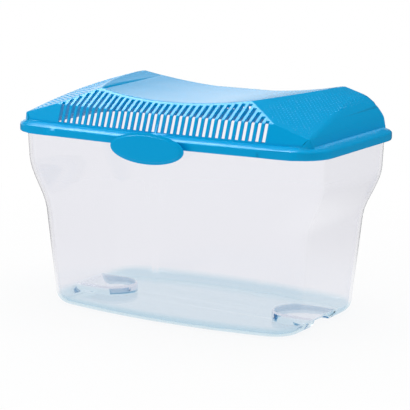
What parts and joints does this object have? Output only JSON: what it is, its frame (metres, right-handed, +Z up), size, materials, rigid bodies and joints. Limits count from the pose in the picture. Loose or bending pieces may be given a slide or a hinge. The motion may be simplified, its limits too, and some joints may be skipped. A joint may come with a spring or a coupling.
{
  "type": "pet keeper",
  "caption": "Clear moulded plastic tank with a ventilated lift-off lid, a hinged feeding hatch across the lid's saddle-shaped top and an oval front latch.",
  "frame": {"origin": "middle of the tank's base, on the surface that the keeper stands on", "axes": "+X along the length to the right as seen from the front, -Y towards the front with the oval latch, +Z up"},
  "size_m": [0.298, 0.1727, 0.1917],
  "materials": {
    "clear_polystyrene": "clear injection-moulded polystyrene, polished by the mould",
    "blue_plastic": "opaque bright blue moulded plastic, glossy, with a fine raised texture on the lid's end shoulders"
  },
  "bodies": {
    "tank": {"tank": "clear_polystyrene"},
    "lid": {"lid": "blue_plastic"},
    "hatch": {"hatch": "blue_plastic"},
    "front_latch": {"front_latch": "blue_plastic"}
  },
  "joints": [
    {"name": "lid_lift", "type": "slide", "parent": "tank", "child": "lid", "axis": [0, 0, 1], "range_m": [0, 0.08]},
    {"name": "hatch_hinge", "type": "hinge", "parent": "lid", "child": "hatch", "pos_m": [0, 0.07416, 0.17727], "axis": [-1, 0, 0], "range_deg": [0, 105]},
    {"name": "latch_hinge", "type": "hinge", "parent": "lid", "child": "front_latch", "pos_m": [0, -0.0852, 0.156], "axis": [-1, 0, 0], "range_deg": [0, 70]}
  ]
}
